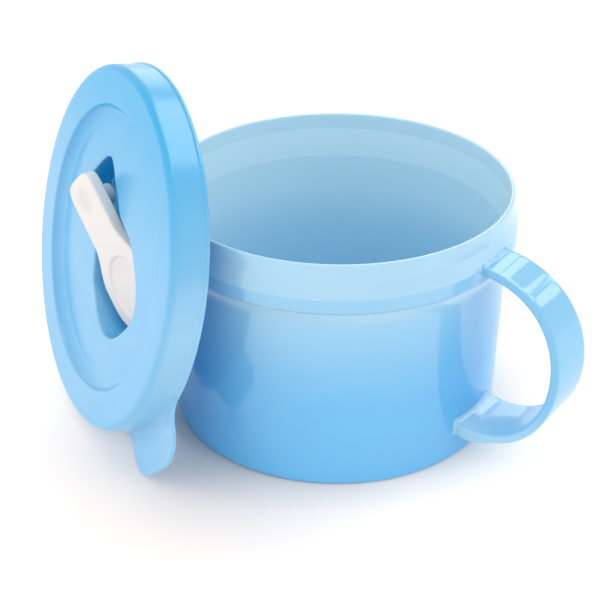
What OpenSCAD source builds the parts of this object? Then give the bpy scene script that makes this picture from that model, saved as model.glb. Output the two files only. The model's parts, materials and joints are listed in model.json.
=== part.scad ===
// Soup mug with a strap handle and a lid that has a rocking steam vent.
// Millimetres. Origin at the centre of the bowl's base, +Z up, handle towards +X.
// The lid stands on its edge beside the bowl and leans on the bowl's collar, vent lever open.

/* [Bowl] */
// Height of the bowl from base to rim
bowl_h = 83.2; // [75:0.1:95]
// Outer diameter of the rim
rim_d = 116.8; // [100:0.1:130]
// How far the collar stands out past the rim
collar_out = 1.7; // [0.8:0.1:3]
// How far the wall below the collar lies inside the rim
body_in = 1.4; // [0.4:0.1:3]
// How far the wall tapers in from there to the base
base_taper = 1.9; // [0.5:0.1:6]
// Thickness of the wall
wall = 1.8; // [1.2:0.1:3]
// Thickness of the base
base_t = 2.6; // [1.5:0.1:5]
// Thickness of the lip at the rim
lip_t = 1.3; // [0.8:0.1:1.8]
// Height of the straight neck below the rim
neck_h = 5.7; // [3:0.1:8]
// Height of the sloping shoulder between neck and collar
shoulder_h = 5.6; // [3:0.1:8]
// Height of the collar's straight band
collar_h = 4.4; // [2:0.1:8]
// Height of the soft blend from the collar to the wall
collar_blend_h = 7; // [3:0.1:12]
// Radius of the outer edge of the base
foot_round = 1.6; // [0.8:0.1:4]
// Radius between the base and the wall, inside
floor_round = 6; // [2:0.5:12]

/* [Handle] */
// Distance from the bowl's axis to the handle's outer face
handle_reach = 89; // [80:0.5:100]
// Thickness of the strap
handle_t = 3; // [2:0.1:5]
// Width of the strap at its upper end
handle_top_w = 16.2; // [10:0.1:22]
// Width of the strap at its lower end
handle_foot_w = 22.4; // [14:0.1:30]
// Depth of the strap's upper end below the rim
handle_drop = 10.3; // [9:0.1:14]
// Height of the strap's lower end above the base
handle_foot_z = 12.2; // [8:0.1:18]
// Height at which the strap stands out furthest
handle_wide_z = 41; // [34:0.5:48]

/* [Lid] */
// How far the skirt's lower lip stands out past the bowl's collar
lid_over = 1.7; // [1.5:0.1:4]
// How far the skirt tapers in to the rounded top edge
lid_taper = 1.05; // [0.7:0.05:1.4]
// Height of the lid from the skirt's lower edge to the top ring
lid_h = 12; // [10:0.1:16]
// Thickness of the lid's top
lid_top_t = 1.6; // [1.2:0.1:2.2]
// Thickness of the skirt
skirt_t = 1.3; // [0.9:0.1:1.6]
// Radius of the rounded top edge
lid_round = 2.4; // [1.4:0.1:3]
// Width of the top ring with its soft step to the panel
ring_w = 14.05; // [10:0.05:17]
// Depth of the sunken panel below the top ring
panel_sink = 3.5; // [2:0.1:4.5]
// Width of the soft step from ring to panel
panel_step = 3; // [1.5:0.1:4]
// Depth of the ring that plugs the bowl's mouth
plug_h = 4; // [2:0.1:6]
// Reach of the lifting tab beyond the skirt
tab_reach = 14.6; // [8:0.1:18]
// Width of the lifting tab
tab_w = 33; // [24:0.5:40]
// Thickness of the lifting tab
tab_t = 1.7; // [1.2:0.1:3]

/* [Vent lever] */
// Width of the lever's narrow end
lever_narrow_w = 18.4; // [16:0.1:22]
// Width of the lever's thumb end
lever_wide_w = 31; // [27:0.1:34]
// Length from the pivot to the narrow end
lever_back = 29.3; // [27:0.1:32]
// Length from the pivot to the thumb end
lever_front = 25.8; // [24:0.1:27]
// Thickness of the lever's sides
lever_t = 4; // [3:0.1:4.5]
// Thickness of the lever at the thumb end's edge
lever_tip_t = 1.6; // [1.2:0.1:2]
// Thickness of the lever's top skin and side walls
lever_skin = 1.7; // [1.2:0.1:2]
// Diameter of the thumb scoop
scoop_d = 21.4; // [14:0.1:23]
// Depth of the thumb scoop
scoop_depth = 1.7; // [0.5:0.1:1.8]
// Diameter of the dimple over the peg
dimple_d = 10.6; // [6:0.1:13]
// Depth of the dimple
dimple_depth = 0.8; // [0.3:0.1:1.2]
// Diameter of the peg that closes the vent hole
peg_d = 7.2; // [5:0.1:9]
// Distance of the peg from the pivot
peg_back = 20.9; // [18:0.1:22]
// Diameter of the hinge pin
pin_d = 3; // [2.2:0.1:3.4]
// Angle at which the vent stands open
lever_open = 20.5; // [5:0.5:21]

/* [Pose] */
// Lean of the lid from the upright
lean = 13.4; // [8:0.1:18]
// Direction in which the lid's top faces
lean_azimuth = 239.3; // [200:0.1:280]
// Turn of the lid about its own axis
lid_spin = 44.5; // [20:0.5:60]
// Sideways place of the lid's centre past the bowl's axis
lid_side = 25; // [20:0.1:30]
// Clearance between the lid and what it leans and stands on
lean_gap = 0.3; // [0.2:0.05:1]

/* [Hidden] */
$fn = 96;
plastic = [0.60, 0.82, 0.96];
white = [0.97, 0.96, 0.94];
overrun = 1;
curve_n = 12;
outline_n = 40;

// Bowl heights and radii
neck_z = bowl_h - neck_h;
collar_top_z = neck_z - shoulder_h;
collar_low_z = collar_top_z - collar_h;
body_top_z = collar_low_z - collar_blend_h;
rim_r = rim_d / 2;
collar_r = rim_r + collar_out;
body_r = rim_r - body_in;
base_r = body_r - base_taper;
neck_in_r = rim_r - lip_t;

// Handle curve: shares of each stretch that the tangents take
handle_top_z = bowl_h - handle_drop;
handle_top_shares = [0.55, 0.62];
handle_low_shares = [0.63, 0.62];
handle_sag_share = 0.22;

// Lid heights and radii
lid_r = collar_r + lid_over;
lid_top_r = lid_r - lid_taper;
lip_out = 0.6;
lip_h = 1.4;
edge_z = lid_h - lid_round;
panel_z = lid_h - panel_sink;
panel_r = lid_top_r - ring_w;
plug_fit = 0.35;
plug_t = 1.4;
plug_r = neck_in_r - plug_fit;
skirt_r = lid_r - lip_out;
tab_base_angle = 22;
tab_round = 10.5;
tab_x0 = lid_r * cos(tab_base_angle);
tab_tip = lid_r + tab_reach;
tab_bend = tab_tip - tab_round;
tab_xs = concat([for (i = [0 : curve_n - 1]) tab_x0 + (tab_bend - tab_x0) * i / curve_n],
                [for (i = [0 : curve_n]) tab_bend + tab_round * sin(90 * i / curve_n)]);

// Lever outline measured from the pivot: its flare, and the ends' roundness
pivot_x = 1.6;
lever_sink = 0.5;
pivot_drop = 5;
flare_start = -7.6;
flare_len = 15;
tail_len = 7;
tail_power = 3.5;
nose_start = 11.4;
nose_power = 2.7;
taper_start = 6.4;
hollow_end = 6;

// Hinge: pin in a bearing on the pocket's floor, between two lugs under the lever
pivot_z = panel_z - lever_sink - pivot_drop;
pin_fit = 0.05;
bearing_w = 8;
bearing_wall = 1.3;
bearing_r = pin_d / 2 + bearing_wall;
lug_w = 2.2;
lug_wall = 0.8;
lug_r = pin_d / 2 + lug_wall;
lug_gap = 0.4;
lug_clear = 0.9;

// Vent pocket, with a deeper well from where the open lever's underside would meet the floor
pocket_gap = 2.4;
tub_wall = 1.4;
tub_floor = 1.3;
tub_g = pocket_gap + tub_wall;
floor_z = pivot_z - lug_r - lug_clear;
tub_z = floor_z - tub_floor;
lever_clear = 0.25;
lever_under_z = pivot_drop - lever_t;
lever_slope = (lever_t - lever_tip_t) / (lever_front - taper_start);
dip_x = ((lever_under_z - lever_slope * taper_start) * cos(lever_open) + pivot_z - floor_z - lever_clear)
    / (sin(lever_open) - lever_slope * cos(lever_open));
dip_z = lever_under_z + lever_slope * (dip_x - taper_start);
well_start = pivot_x + dip_x * cos(lever_open) + dip_z * sin(lever_open);
well_z = pivot_z - lever_front * sin(lever_open) + (pivot_drop - lever_tip_t) * cos(lever_open) - lever_clear;

// Peg that closes the vent hole
peg_fit = 0.45;
peg_past = 0.4;
peg_sink_share = 0.25;
peg_x = pivot_x - peg_back;

// Points of an arc about a centre, from one angle to another
function arc(c, r, a0, a1) =
    [for (i = [0 : curve_n]) let (a = a0 + (a1 - a0) * i / curve_n) c + r * [cos(a), sin(a)]];

// Points of a soft S from p to q, upright at both ends
function soft_step(p, q) =
    [for (i = [0 : curve_n]) let (k = i / curve_n)
        [p[0] + (q[0] - p[0]) * (1 - cos(180 * k)) / 2, p[1] + (q[1] - p[1]) * k]];

// Point of a cubic curve, and its unit normal to the left of travel
function cubic(p, k) = pow(1 - k, 3) * p[0] + 3 * k * pow(1 - k, 2) * p[1]
    + 3 * k * k * (1 - k) * p[2] + pow(k, 3) * p[3];
function cubic_normal(p, k) =
    let (d = pow(1 - k, 2) * (p[1] - p[0]) + 2 * k * (1 - k) * (p[2] - p[1]) + k * k * (p[3] - p[2]))
    [-d[1], d[0]] / norm(d);

// Ease from 0 to 1
function ease(k) = let (c = min(max(k, 0), 1)) c * c * (3 - 2 * c);

// Roundness of an outline's end: 1 where it starts, 0 at the tip
function end_round(k, power) = k <= 0 ? 1 : pow(max(0, 1 - pow(min(k, 1), power)), 1 / power);

// Half width of the lever's paddle outline, grown all round by g, at x from the pivot
function paddle_half(x, g) =
    let (flare = ease((x - flare_start + g) / flare_len))
    (lever_narrow_w / 2 + g + flare * (lever_wide_w - lever_narrow_w) / 2)
    * end_round((tail_len - lever_back - g - x) / tail_len, tail_power)
    * end_round((x - nose_start) / (lever_front + g - nose_start), nose_power);

// Paddle outline with points that crowd towards both ends
function paddle(g) =
    let (mid = (lever_front - lever_back) / 2, half = (lever_front + lever_back) / 2 + g,
         xs = [for (i = [0 : outline_n]) mid - half * cos(180 * i / outline_n)],
         last = len(xs) - 1)
    concat([for (i = [0 : last]) [xs[i], paddle_half(xs[i], g)]],
           [for (i = [last - 1 : -1 : 1]) [xs[i], -paddle_half(xs[i], g)]]);

// Half width of the lifting tab at x from the lid's axis
function tab_half(x) = x < tab_bend
    ? tab_w / 2 + (lid_r * sin(tab_base_angle) - tab_w / 2) * pow((tab_bend - x) / (tab_bend - tab_x0), 3)
    : tab_w / 2 - tab_round + sqrt(max(0, pow(tab_round, 2) - pow(x - tab_bend, 2)));

// Outer edge of the bowl, from the base's edge to the lip
bowl_edge = concat(
    arc([base_r - foot_round, foot_round], foot_round, -90, 0),
    soft_step([body_r, body_top_z], [collar_r, collar_low_z]),
    [[collar_r, collar_top_z], [rim_r, neck_z]],
    arc([rim_r - lip_t / 2, bowl_h - lip_t / 2], lip_t / 2, 0, 90));

// Inner edge of the bowl, from the lip to the base
bowl_inside = concat(
    arc([rim_r - lip_t / 2, bowl_h - lip_t / 2], lip_t / 2, 90, 180),
    [[neck_in_r, neck_z], [body_r - wall, collar_low_z]],
    arc([base_r - wall - floor_round, base_t + floor_round], floor_round, 0, -90));

// Stand of the lid: its lowest edge just clears the ground
lid_foot = max(lid_r, max([for (x = tab_xs) x * cos(lid_spin) + tab_half(x) * sin(lid_spin)]));
lid_z = lid_foot * cos(lean) + lean_gap;

// A point of the lid as it stands over the bowl's axis: its way out, its place sideways, its height
function lid_point(p) =
    let (x = p[0] * cos(lid_spin) - p[1] * sin(lid_spin))
    [x * sin(lean) + p[2] * cos(lean),
     p[0] * sin(lid_spin) + p[1] * cos(lid_spin) - lid_side,
     lid_z - x * cos(lean) + p[2] * sin(lean)];

// How far out the lid has to stand for one of its points to clear the bowl
bowl_r_at = [for (p = bowl_edge) [p[1], p[0]]];
function stand_off(p) =
    let (q = lid_point(p), r = lookup(q[2], bowl_r_at) + lean_gap)
    q[2] > bowl_h || abs(q[1]) > r ? 0 : sqrt(r * r - q[1] * q[1]) - q[0];

// Lid moved out until its first point, on the pocket's underside or the skirt's lip, meets the bowl
touch_n = 160;
touch_shares = [-1 : 0.25 : 1];
touch_points = concat(
    [for (i = [0 : touch_n])
        let (x = -lever_back - tub_g + (lever_back + lever_front + 2 * tub_g) * i / touch_n)
        for (share = touch_shares)
        [pivot_x + x, share * paddle_half(x, tub_g),
         pivot_x + x < well_start - tub_wall ? tub_z : min(tub_z, well_z - tub_floor)]],
    [for (i = [0 : touch_n]) let (a = 360 * i / touch_n) lid_r * [cos(a), sin(a), 0]]);
lid_out = max([for (p = touch_points) stand_off(p)]);

// Everything inside the bowl's outer edge
module bowl_envelope() {
    rotate_extrude() polygon(concat([[0, 0]], bowl_edge, [[0, bowl_h]]));
}

module bowl() {
    color(plastic)
    rotate_extrude() polygon(concat([[0, 0]], bowl_edge, bowl_inside, [[0, base_t]]));
}

// Upper and lower stretch of the strap's outer face
handle_root_r = body_r;
handle_foot_r = base_r - wall;
handle_out = handle_reach - handle_root_r;
handle_top_curve = [
    [handle_root_r, handle_top_z],
    [handle_root_r + handle_top_shares[0] * handle_out, handle_top_z],
    [handle_reach, handle_wide_z + handle_top_shares[1] * (handle_top_z - handle_wide_z)],
    [handle_reach, handle_wide_z]];
handle_low_rise = handle_wide_z - handle_foot_z;
handle_low_curve = [
    [handle_reach, handle_wide_z],
    [handle_reach, handle_wide_z - handle_low_shares[0] * handle_low_rise],
    [handle_foot_r + handle_low_shares[1] * (handle_reach - handle_foot_r),
     handle_foot_z - handle_sag_share * handle_low_rise],
    [handle_foot_r, handle_foot_z]];

// Points of the strap's face, moved inwards by its depth
function strap_face(depth) = [for (c = [handle_top_curve, handle_low_curve], i = [0 : curve_n])
    if (c == handle_top_curve || i > 0)
    let (k = i / curve_n) cubic(c, k) - depth * cubic_normal(c, k)];

// Half width of the strap at a height, which grows evenly downwards
function strap_half(z) = (handle_top_w + (handle_foot_w - handle_top_w)
    * (handle_top_z - z) / (handle_top_z - handle_foot_z)) / 2;

module handle() {
    outer = strap_face(0);
    inner = strap_face(handle_t);
    last = len(inner) - 1;
    color(plastic)
    difference() {
        intersection() {
            rotate([90, 0, 0])
            linear_extrude(2 * strap_half(0), center = true)
            polygon(concat(outer, [for (i = [last : -1 : 0]) inner[i]]));
            rotate([90, 0, 90])
            linear_extrude(handle_reach + overrun)
            polygon([[-strap_half(0), 0], [strap_half(0), 0],
                     [strap_half(bowl_h), bowl_h], [-strap_half(bowl_h), bowl_h]]);
        }
        bowl_envelope();
    }
}

// Puts a shape made about the lid's own axis where the lid stands
module lid_place() {
    rotate([0, 0, lean_azimuth])
    translate([lid_out, -lid_side, lid_z])
    rotate([0, 90 - lean, 0])
    rotate([0, 0, lid_spin])
    children();
}

// Puts a shape made about the hinge into the lid
module pivot_place() {
    translate([pivot_x, 0, pivot_z]) children();
}

// Thin lifting tab at the skirt's lower edge
module tab() {
    last = len(tab_xs) - 1;
    difference() {
        linear_extrude(tab_t)
        polygon(concat([for (x = tab_xs) [x, tab_half(x)]],
                       [for (i = [last : -1 : 0]) [tab_xs[i], -tab_half(tab_xs[i])]]));
        translate([0, 0, -overrun]) cylinder(tab_t + 2 * overrun, r = skirt_r - skirt_t / 2);
    }
}

// Skirt of the lid, with its lower lip and the lifting tab
module lid_skirt() {
    color(plastic)
    lid_place() {
        rotate_extrude() polygon([
            [skirt_r - skirt_t, 0], [lid_r, 0], [lid_r, lip_h], [skirt_r, lip_h + lip_out],
            [lid_top_r, edge_z], [lid_top_r - skirt_t, edge_z]]);
        tab();
    }
}

// Paddle outline between two heights, kept only past x
module paddle_block(g, z0, z1, x = -lid_r) {
    intersection() {
        translate([pivot_x, 0, z0]) linear_extrude(z1 - z0) polygon(paddle(g));
        translate([x, -lid_r, z0 - overrun]) cube([2 * lid_r, 2 * lid_r, z1 - z0 + 2 * overrun]);
    }
}

// Upright bearing on the pocket's floor, with the bore for the lever's pin
module bearing() {
    difference() {
        union() {
            pivot_place() rotate([90, 0, 0]) cylinder(bearing_w, r = bearing_r, center = true);
            translate([pivot_x - bearing_r, -bearing_w / 2, floor_z - tub_floor / 2])
            cube([2 * bearing_r, bearing_w, pivot_z - floor_z + tub_floor / 2]);
        }
        pivot_place() rotate([90, 0, 0])
        cylinder(bearing_w + 2 * overrun, d = pin_d + 2 * pin_fit, center = true);
    }
}

// Top of the lid: rounded edge, top ring, sunken panel around the pocket, and plug ring
module lid_top() {
    under_z = lid_h - lid_top_t;
    color(plastic)
    lid_place()
    difference() {
        rotate_extrude() polygon(concat(
            [[lid_top_r - skirt_t, edge_z]],
            arc([lid_top_r - lid_round, edge_z], lid_round, 0, 90),
            [for (p = soft_step([lid_h, panel_r + panel_step], [panel_z, panel_r])) [p[1], p[0]]],
            [[0, panel_z], [0, panel_z - lid_top_t], [panel_r, panel_z - lid_top_t],
             [panel_r + panel_step, under_z], [plug_r - plug_t, under_z],
             [plug_r - plug_t, under_z - plug_h], [plug_r, under_z - plug_h],
             [plug_r, under_z], [lid_top_r - skirt_t, under_z]]));
        paddle_block(tub_g, tub_z, lid_h);
    }
}

// Vent pocket moulded into the panel, with the vent hole and the lever's bearing
module vent_pocket() {
    color(plastic)
    lid_place() {
        difference() {
            union() {
                paddle_block(tub_g, tub_z, panel_z);
                paddle_block(tub_g, well_z - tub_floor, floor_z, well_start - tub_wall);
            }
            paddle_block(pocket_gap, floor_z, lid_h);
            paddle_block(pocket_gap, well_z, lid_h, well_start);
            translate([peg_x, 0, tub_z - overrun])
            cylinder(tub_floor + 2 * overrun, d = peg_d + 2 * peg_fit);
        }
        bearing();
    }
}

// Bowl-shaped cut of a given width and depth in the lever's top face
module dish(d, depth) {
    r = (pow(d / 2, 2) + pow(depth, 2)) / (2 * depth);
    translate([0, 0, pivot_drop + r - depth]) sphere(r);
}

// Lever about its pivot, lying level
module lever_level() {
    taper = atan(lever_slope);
    peg_end = tub_z - peg_past - pivot_z;
    peg_top = pivot_drop - (1 - peg_sink_share) * lever_skin;
    difference() {
        translate([0, 0, lever_under_z]) linear_extrude(lever_t) polygon(paddle(0));
        intersection() {
            translate([0, 0, lever_under_z - overrun])
            linear_extrude(lever_t - lever_skin + overrun) polygon(paddle(-lever_skin));
            translate([-lever_back, -lever_wide_w, lever_under_z - overrun])
            cube([lever_back + hollow_end, 2 * lever_wide_w, lever_t]);
        }
        translate([taper_start, -lever_wide_w, lever_under_z])
        rotate([0, -taper, 0]) translate([0, 0, -lever_t]) cube([lever_front, 2 * lever_wide_w, lever_t]);
        translate([nose_start, 0, 0]) dish(scoop_d, scoop_depth);
        translate([-peg_back, 0, 0]) dish(dimple_d, dimple_depth);
    }
    translate([-peg_back, 0, peg_end]) cylinder(peg_top - peg_end, d = peg_d);
    for (side = [-1, 1])
        translate([0, side * (bearing_w / 2 + lug_gap + lug_w / 2), 0]) {
            rotate([90, 0, 0]) cylinder(lug_w, r = lug_r, center = true);
            translate([-lug_r, -lug_w / 2, 0])
            cube([2 * lug_r, lug_w, pivot_drop - lever_skin / 2]);
        }
    rotate([90, 0, 0]) cylinder(bearing_w + 2 * lug_gap + lug_w, d = pin_d, center = true);
}

module vent_lever() {
    color(white)
    lid_place() pivot_place() rotate([0, lever_open, 0]) lever_level();
}

bowl();
handle();
lid_skirt();
lid_top();
vent_pocket();
vent_lever();
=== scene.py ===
"""Soup mug: a moulded bowl with a strap handle, and a lid with a rocking steam-vent lever.

Every piece is a numpy surface in metres, in the CAD frame: profiles turned about an axis,
sections carried along a path, and rings that change from one outline to the next.
"""

import json
from math import atan2, cos, hypot, pi, radians, sin, tan

import bpy
import numpy as np
from bpy.props import FloatProperty, FloatVectorProperty, PointerProperty
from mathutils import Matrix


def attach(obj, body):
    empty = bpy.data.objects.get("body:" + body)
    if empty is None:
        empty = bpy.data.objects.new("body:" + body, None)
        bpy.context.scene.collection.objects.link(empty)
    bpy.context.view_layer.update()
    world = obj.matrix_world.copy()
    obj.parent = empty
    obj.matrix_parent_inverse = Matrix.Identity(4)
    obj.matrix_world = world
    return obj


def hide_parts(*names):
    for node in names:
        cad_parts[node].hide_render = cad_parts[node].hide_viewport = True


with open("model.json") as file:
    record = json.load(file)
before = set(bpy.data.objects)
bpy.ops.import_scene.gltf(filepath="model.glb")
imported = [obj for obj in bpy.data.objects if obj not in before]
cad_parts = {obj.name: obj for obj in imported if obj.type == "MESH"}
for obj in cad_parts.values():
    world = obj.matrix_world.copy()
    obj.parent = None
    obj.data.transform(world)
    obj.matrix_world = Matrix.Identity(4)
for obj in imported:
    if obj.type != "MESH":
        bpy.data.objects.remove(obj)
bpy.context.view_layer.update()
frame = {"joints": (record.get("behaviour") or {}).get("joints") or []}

bl_info = {
    "name": "Soup mug",
    "version": (1, 0, 0),
    "blender": (4, 5, 0),
    "location": "View3D > Sidebar > Soup mug",
    "description": "Builds the looks of a soup mug and its vented lid around the CAD frame",
    "category": "Add Mesh",
}

# Radius at which a turned profile ends; a fan closes it
POLE = 0.0004
# Points on a rounded corner, round the bowl, and round the lid and its lever
TURNS = 7
ROUND_COUNT = 216
LID_COUNT = 240
# Longest stretch along the bowl's and the lid's profiles
FINE_STEP = 0.0016
LID_STEP = 0.0012
# Set-back of the skirt from the lip's radius, and radius at the pocket's foot, in and out
LIP_STEP = 0.0006
POCKET_FOOT = 0.001
# Hinge: half width of the bearing, play beside it, half width of a lug
BEARING_HALF = 0.004
LUG_PLAY = 0.0004
LUG_HALF = 0.0011
# Point between mug and lid at which the lamps look
MIDDLE = (0.0, 0.0, 0.05)


# Sizes and colours

def length_prop(name, description, default):
    """Property for a length in metres."""
    return FloatProperty(name=name, description=description, default=default, unit="LENGTH")


def angle_prop(name, description, degrees):
    """Property for an angle, its default given in degrees."""
    return FloatProperty(
        name=name, description=description, default=radians(degrees), subtype="ANGLE")


def power_prop(name, description, default):
    """Property for a lamp's power in watts."""
    return FloatProperty(name=name, description=description, default=default, unit="POWER")


def factor_prop(name, description, default):
    """Property for a share from 0 to 1."""
    return FloatProperty(
        name=name, description=description, default=default, min=0.0, max=1.0, subtype="FACTOR")


def colour_prop(name, description, default):
    """Property for a colour."""
    return FloatVectorProperty(
        name=name, description=description, default=default, size=3, min=0.0, max=1.0,
        subtype="COLOR")


class BowlShape(bpy.types.PropertyGroup):
    """Sizes of the bowl"""

    height: length_prop("Height", "Height from base to rim", 0.0832)
    rim_radius: length_prop("Rim radius", "Outer radius of the rim", 0.0584)
    collar_out: length_prop("Collar", "How far the collar stands out past the rim", 0.00168)
    body_in: length_prop(
        "Wall set-in", "How far the wall below the collar lies inside the rim", 0.0014)
    taper: length_prop("Taper", "How far the wall tapers in to the base", 0.0019)
    wall: length_prop("Wall", "Thickness of the wall", 0.0018)
    base: length_prop("Base", "Thickness of the base", 0.0026)
    lip: length_prop("Lip", "Thickness of the lip at the rim", 0.0013)
    neck: length_prop("Neck", "Height of the neck below the rim", 0.0057)
    shoulder: length_prop("Shoulder", "Height of the slope from neck to collar", 0.0056)
    collar: length_prop("Collar band", "Height of the collar's straight band", 0.0044)
    blend: length_prop("Blend", "Height of the soft blend from collar to wall", 0.007)
    foot_round: length_prop("Foot round", "Radius of the base's outer edge", 0.0016)
    floor_round: length_prop("Floor round", "Radius between base and wall, inside", 0.006)
    foot_recess: length_prop("Foot recess", "Depth of the hollow inside the standing ring", 0.0005)


class HandleShape(bpy.types.PropertyGroup):
    """Sizes of the strap handle"""

    reach: length_prop("Reach", "Distance of the outer face from the bowl's axis", 0.089)
    thickness: length_prop("Thickness", "Thickness of the strap", 0.003)
    top_width: length_prop("Upper width", "Width at the upper end", 0.0162)
    foot_width: length_prop("Lower width", "Width at the lower end", 0.0224)
    top_height: length_prop("Upper height", "Height of the outer face's upper end", 0.0729)
    foot_height: length_prop("Lower height", "Height of the outer face's lower end", 0.0122)
    wide_height: length_prop(
        "Widest height", "Height at which the strap stands out furthest", 0.041)
    edge_round: length_prop("Edge round", "Radius of the strap's edges", 0.0008)
    root_fillet: length_prop("Root fillet", "Radius where the strap's faces meet the bowl", 0.0008)
    root_swell: length_prop("Root swell", "Extra thickness under the lower root", 0.0022)
    side_fillet: length_prop(
        "Side fillet", "Radius where the lower root's sides meet the bowl", 0.0006)


class LidShape(bpy.types.PropertyGroup):
    """Sizes of the lid and its place"""

    lip_radius: length_prop("Lip radius", "Outer radius of the skirt's lower lip", 0.06177)
    top_radius: length_prop("Top radius", "Radius at the rounded top edge", 0.06073)
    height: length_prop("Height", "Height from the lower edge to the top ring", 0.01198)
    top: length_prop("Top", "Thickness of the top", 0.0016)
    skirt: length_prop("Skirt", "Thickness of the skirt", 0.0013)
    edge_round: length_prop("Edge round", "Radius of the top edge", 0.0024)
    panel_radius: length_prop("Panel radius", "Radius of the sunken panel", 0.0467)
    panel_sink: length_prop("Panel depth", "Depth of the panel below the ring", 0.0035)
    panel_step: length_prop(
        "Panel step", "Distance from the panel's radius to the ring's inner edge", 0.001)
    panel_slope: angle_prop(
        "Panel slope", "Steepest slope of the hollow step from ring to panel", 70)
    plug_radius: length_prop("Plug radius", "Outer radius of the ring that plugs the bowl", 0.05675)
    plug: length_prop("Plug wall", "Thickness of the plug ring", 0.0014)
    plug_depth: length_prop("Plug depth", "Depth of the plug ring", 0.004)
    tab_reach: length_prop("Tab reach", "Reach of the lifting tab past the lip", 0.0146)
    tab_width: length_prop("Tab width", "Width of the lifting tab", 0.033)
    tab_thickness: length_prop("Tab thickness", "Thickness of the lifting tab", 0.0017)
    lean: angle_prop("Lean", "Lean from the upright", 13.4)
    azimuth: angle_prop("Facing", "Direction in which the lid's top faces", 239.3)
    spin: angle_prop("Spin", "Turn about the lid's own axis", 44.5)


class VentShape(bpy.types.PropertyGroup):
    """Sizes of the vent lever and its pocket"""

    narrow: length_prop("Narrow end", "Half width of the narrow end", 0.0092)
    wide: length_prop("Thumb end", "Half width of the thumb end", 0.0155)
    back: length_prop("Back", "Length from pivot to narrow end", 0.0293)
    front: length_prop("Front", "Length from pivot to thumb end", 0.0258)
    thickness: length_prop("Thickness", "Height of the lever's sides", 0.004)
    tip: length_prop("Tip", "Thickness at the thumb end's edge", 0.0016)
    skin: length_prop("Skin", "Thickness of the lever's skin", 0.0017)
    edge_round: length_prop("Edge round", "Radius of the lever's upper edge", 0.0009)
    scoop_radius: length_prop("Scoop radius", "Radius of the thumb scoop", 0.0112)
    scoop_depth: length_prop("Scoop depth", "Depth of the thumb scoop", 0.0016)
    dimple_radius: length_prop("Dimple radius", "Radius of the dimple over the peg", 0.0053)
    dimple_depth: length_prop("Dimple depth", "Depth of the dimple", 0.0008)
    peg_radius: length_prop("Peg radius", "Radius of the peg", 0.0036)
    peg_back: length_prop("Peg place", "Distance of the peg from the pivot", 0.0209)
    pin_radius: length_prop("Pin radius", "Radius of the hinge pin", 0.0015)
    pivot_x: length_prop("Pivot place", "Distance of the pivot from the lid's axis", 0.0016)
    pivot_z: length_prop("Pivot height", "Height of the pivot over the lid's lower edge", 0.003)
    pivot_drop: length_prop("Pivot depth", "Depth of the pivot below the lever's top", 0.005)
    opening: angle_prop("Opening", "Angle at which the vent stands open", 20.5)
    gap: length_prop("Gap", "Gap between lever and pocket", 0.0024)
    tub_wall: length_prop("Pocket wall", "Thickness of the pocket's wall", 0.0014)
    tub_floor: length_prop("Pocket floor", "Thickness of the pocket's floor", 0.0013)
    floor_z: length_prop("Floor height", "Height of the pocket's floor", -0.0002)
    well_z: length_prop("Well height", "Height of the deeper well under the thumb end", -0.0031)
    rim_round: length_prop("Rim round", "Radius of the pocket's rim", 0.0006)


class MugFinish(bpy.types.PropertyGroup):
    """Colours and gloss"""

    # Painted light and shade: each light and deep pair are lit and shaded copies of one blue, mixed
    # by height; the flow marks also move between them
    mug_light: colour_prop("Mug, light", "Light blue of the mug, at its rim", (0.42, 0.73, 0.95))
    mug_deep: colour_prop("Mug, deep", "Deeper blue of the mug, at its base", (0.16, 0.57, 0.95))
    handle_light: colour_prop(
        "Handle, light", "Light blue of the handle, at its foot", (0.44, 0.77, 0.97))
    handle_deep: colour_prop(
        "Handle, deep", "Deeper blue of the handle, at its top", (0.23, 0.61, 0.91))
    lid_light: colour_prop("Lid, light", "Light blue of the lid", (0.20, 0.56, 0.88))
    lid_deep: colour_prop("Lid, deep", "Deeper blue of the lid", (0.01, 0.45, 0.83))
    shaded: colour_prop("Shaded", "Azure deep inside the vent pocket", (0.02, 0.72, 1.0))
    # Painted light: the lightest blue, on the bowl's inside, the blend under the collar, the neck,
    # the lid's skirt and its tab
    painted_light_blue: colour_prop("Pale", "Pale blue of the bowl's inside", (0.66, 0.91, 1.0))
    white: colour_prop("White", "Colour of the lever", (0.955, 0.887, 0.838))
    white_deep: colour_prop(
        "Deep white", "Slightly deeper white of the flow marks", (0.93, 0.857, 0.808))
    # Painted shade: the darker white in the lever's dimple
    dimple_shade_white: colour_prop("Worn white", "Dulled white of the dimple", (0.74, 0.70, 0.64))
    mug_roughness: factor_prop("Mug roughness", "Roughness of bowl and handle", 0.36)
    lid_roughness: factor_prop("Lid roughness", "Roughness of the lid", 0.45)
    lever_roughness: factor_prop("Lever roughness", "Roughness of the lever", 0.42)


class MugStage(bpy.types.PropertyGroup):
    """Camera and light"""

    distance: length_prop("Distance", "Camera's distance from the base's centre", 0.57053)
    azimuth: angle_prop("Azimuth", "Camera's place round the mug", 33.0)
    elevation: angle_prop("Elevation", "Camera's place above the table", 32.996)
    pan: angle_prop("Pan", "Camera's turn away from the base's centre", 1.4886)
    tilt: angle_prop("Tilt", "Camera's tilt below the horizon", 29.6707)
    lens: FloatProperty(
        name="Lens", description="Focal length on a 36 mm sensor, in millimetres", default=96.0)
    key: power_prop("Key light", "Power of the large soft light", 2.4)
    fill: power_prop("Fill light", "Power of the weak soft light from the right", 1.6)
    rim: power_prop("Rim light", "Power of the soft light from behind on the right", 0.4)
    sheen: power_prop(
        "Sheen light", "Power of the large softbox that the lid's skirt reflects", 6.9)
    window: power_prop("Window light", "Power of each pane that the handle reflects", 0.12)
    sky: FloatProperty(
        name="Sky", description="Strength of the white surroundings", default=0.86)


# Curves and outlines

def ease(k):
    """Smooth step 3 k^2 - 2 k^3, from 0 to 1."""
    k = np.clip(k, 0.0, 1.0)
    return k * k * (3.0 - 2.0 * k)


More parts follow.
